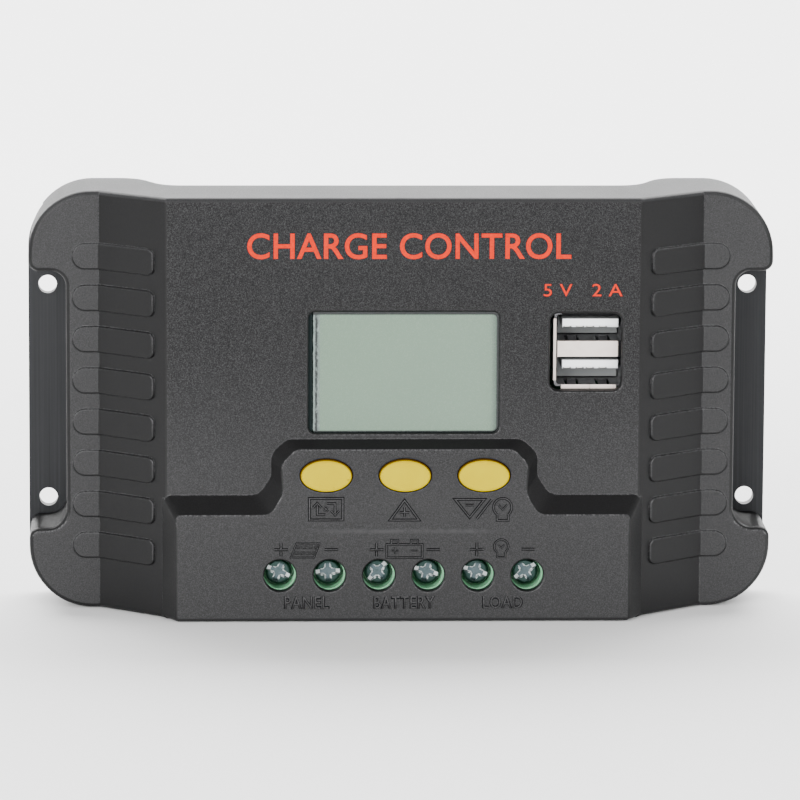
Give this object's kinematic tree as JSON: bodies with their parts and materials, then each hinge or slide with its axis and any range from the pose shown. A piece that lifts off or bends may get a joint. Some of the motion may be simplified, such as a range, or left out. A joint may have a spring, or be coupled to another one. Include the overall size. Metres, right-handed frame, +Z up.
{
  "type": "solar charge controller",
  "caption": "Wall-mounted solar charge controller: black shell on a finned aluminium base, blank LCD, press buttons, twin charging ports and a screw terminal row.",
  "frame": {"origin": "centre of the four-hole wall mounting pattern, on the plane of the wall", "axes": "+X to the right seen from the front, +Z up, the front faces -Y and the wall plane is y = 0"},
  "size_m": [0.1446, 0.0338, 0.0816],
  "materials": {
    "black_abs": "spark-eroded grain on the face, smoother on the ramps",
    "black_abs_inner": "satin",
    "black_anodised": "black anodised extrusion with drawn lines",
    "zinc_steel": "zinc plated",
    "terminal_zinc": "bright zinc plated",
    "plated_cage": "nickel plated",
    "brass_plain": "turned",
    "tinned_brass": "tin plated",
    "gold_contact": "gold flash",
    "green_board": "solder mask over glass epoxy",
    "green_nylon": "moulded nylon",
    "white_nylon": "moulded nylon",
    "nickel_steel": "nickel plated sheet",
    "reflector_white": "diffuser film",
    "lcd_glass": "reflective twisted nematic glass behind a polariser",
    "yellow_cap": "translucent moulded",
    "switch_black": "moulded",
    "black_epoxy": "moulded epoxy",
    "grey_silicone": "soft filled silicone",
    "can_aluminium": "drawn can",
    "ferrite": "sintered ferrite"
  },
  "bodies": {
    "case": {"front_shell": "black_abs", "heat_sink_base": "black_anodised", "case_screws": "zinc_steel", "main_pcb": "green_board", "pcb_spacers": "brass_plain", "pcb_screws": "zinc_steel", "power_mosfets": "black_epoxy", "thermal_pad": "grey_silicone", "terminal_housing": "green_nylon", "terminal_pins": "tinned_brass", "usb_shell": "nickel_steel", "usb_insulator": "white_nylon", "usb_contacts": "gold_contact", "usb_solder_legs": "tinned_brass", "display_pcb": "green_board", "display_screws": "zinc_steel", "display_header": "black_epoxy", "display_header_pins": "gold_contact", "lcd_frame": "black_abs_inner", "lcd_backlight": "reflector_white", "lcd_glass": "lcd_glass", "lcd_pins": "tinned_brass", "switch_bodies": "black_epoxy", "capacitor_large": "can_aluminium", "capacitor_small": "can_aluminium", "inductor": "ferrite", "mcu_ic": "black_epoxy", "regulator_ic": "black_epoxy", "schottky_diodes": "black_epoxy", "chip_resistors": "black_epoxy"},
    "left_button": {"button_cap_left": "yellow_cap", "switch_plunger_left": "switch_black"},
    "middle_button": {"button_cap_middle": "yellow_cap", "switch_plunger_middle": "switch_black"},
    "right_button": {"button_cap_right": "yellow_cap", "switch_plunger_right": "switch_black"},
    "screw_1": {"terminal_screw_1": "terminal_zinc"},
    "clamp_1": {"clamp_cage_1": "plated_cage"},
    "screw_2": {"terminal_screw_2": "terminal_zinc"},
    "clamp_2": {"clamp_cage_2": "plated_cage"},
    "screw_3": {"terminal_screw_3": "terminal_zinc"},
    "clamp_3": {"clamp_cage_3": "plated_cage"},
    "screw_4": {"terminal_screw_4": "terminal_zinc"},
    "clamp_4": {"clamp_cage_4": "plated_cage"},
    "screw_5": {"terminal_screw_5": "terminal_zinc"},
    "clamp_5": {"clamp_cage_5": "plated_cage"},
    "screw_6": {"terminal_screw_6": "terminal_zinc"},
    "clamp_6": {"clamp_cage_6": "plated_cage"}
  },
  "joints": [
    {"name": "left_button_press", "type": "slide", "parent": "case", "child": "left_button", "axis": [0, 1, 0], "range_m": [0, 0.0005]},
    {"name": "middle_button_press", "type": "slide", "parent": "case", "child": "middle_button", "axis": [0, 1, 0], "range_m": [0, 0.0005]},
    {"name": "right_button_press", "type": "slide", "parent": "case", "child": "right_button", "axis": [0, 1, 0], "range_m": [0, 0.0005]},
    {"name": "screw_1_turn", "type": "hinge", "parent": "case", "child": "screw_1", "pos_m": [-0.02383, -0.027, -0.0309], "axis": [0, 1, 0], "range_deg": [0, 2377]},
    {"name": "clamp_1_rise", "type": "slide", "parent": "case", "child": "clamp_1", "axis": [0, -1, 0], "range_m": [0, 0.0033]},
    {"name": "screw_2_turn", "type": "hinge", "parent": "case", "child": "screw_2", "pos_m": [-0.01433, -0.027, -0.0309], "axis": [0, 1, 0], "range_deg": [0, 2377]},
    {"name": "clamp_2_rise", "type": "slide", "parent": "case", "child": "clamp_2", "axis": [0, -1, 0], "range_m": [0, 0.0033]},
    {"name": "screw_3_turn", "type": "hinge", "parent": "case", "child": "screw_3", "pos_m": [-0.00483, -0.027, -0.0309], "axis": [0, 1, 0], "range_deg": [0, 2377]},
    {"name": "clamp_3_rise", "type": "slide", "parent": "case", "child": "clamp_3", "axis": [0, -1, 0], "range_m": [0, 0.0033]},
    {"name": "screw_4_turn", "type": "hinge", "parent": "case", "child": "screw_4", "pos_m": [0.00467, -0.027, -0.0309], "axis": [0, 1, 0], "range_deg": [0, 2377]},
    {"name": "clamp_4_rise", "type": "slide", "parent": "case", "child": "clamp_4", "axis": [0, -1, 0], "range_m": [0, 0.0033]},
    {"name": "screw_5_turn", "type": "hinge", "parent": "case", "child": "screw_5", "pos_m": [0.01417, -0.027, -0.0309], "axis": [0, 1, 0], "range_deg": [0, 2377]},
    {"name": "clamp_5_rise", "type": "slide", "parent": "case", "child": "clamp_5", "axis": [0, -1, 0], "range_m": [0, 0.0033]},
    {"name": "screw_6_turn", "type": "hinge", "parent": "case", "child": "screw_6", "pos_m": [0.02367, -0.027, -0.0309], "axis": [0, 1, 0], "range_deg": [0, 2377]},
    {"name": "clamp_6_rise", "type": "slide", "parent": "case", "child": "clamp_6", "axis": [0, -1, 0], "range_m": [0, 0.0033]}
  ],
  "couplings": [
    {"joint": "screw_1_turn", "follows": "clamp_1_rise", "rad_per_m": 12566},
    {"joint": "screw_2_turn", "follows": "clamp_2_rise", "rad_per_m": 12566},
    {"joint": "screw_3_turn", "follows": "clamp_3_rise", "rad_per_m": 12566},
    {"joint": "screw_4_turn", "follows": "clamp_4_rise", "rad_per_m": 12566},
    {"joint": "screw_5_turn", "follows": "clamp_5_rise", "rad_per_m": 12566},
    {"joint": "screw_6_turn", "follows": "clamp_6_rise", "rad_per_m": 12566}
  ]
}
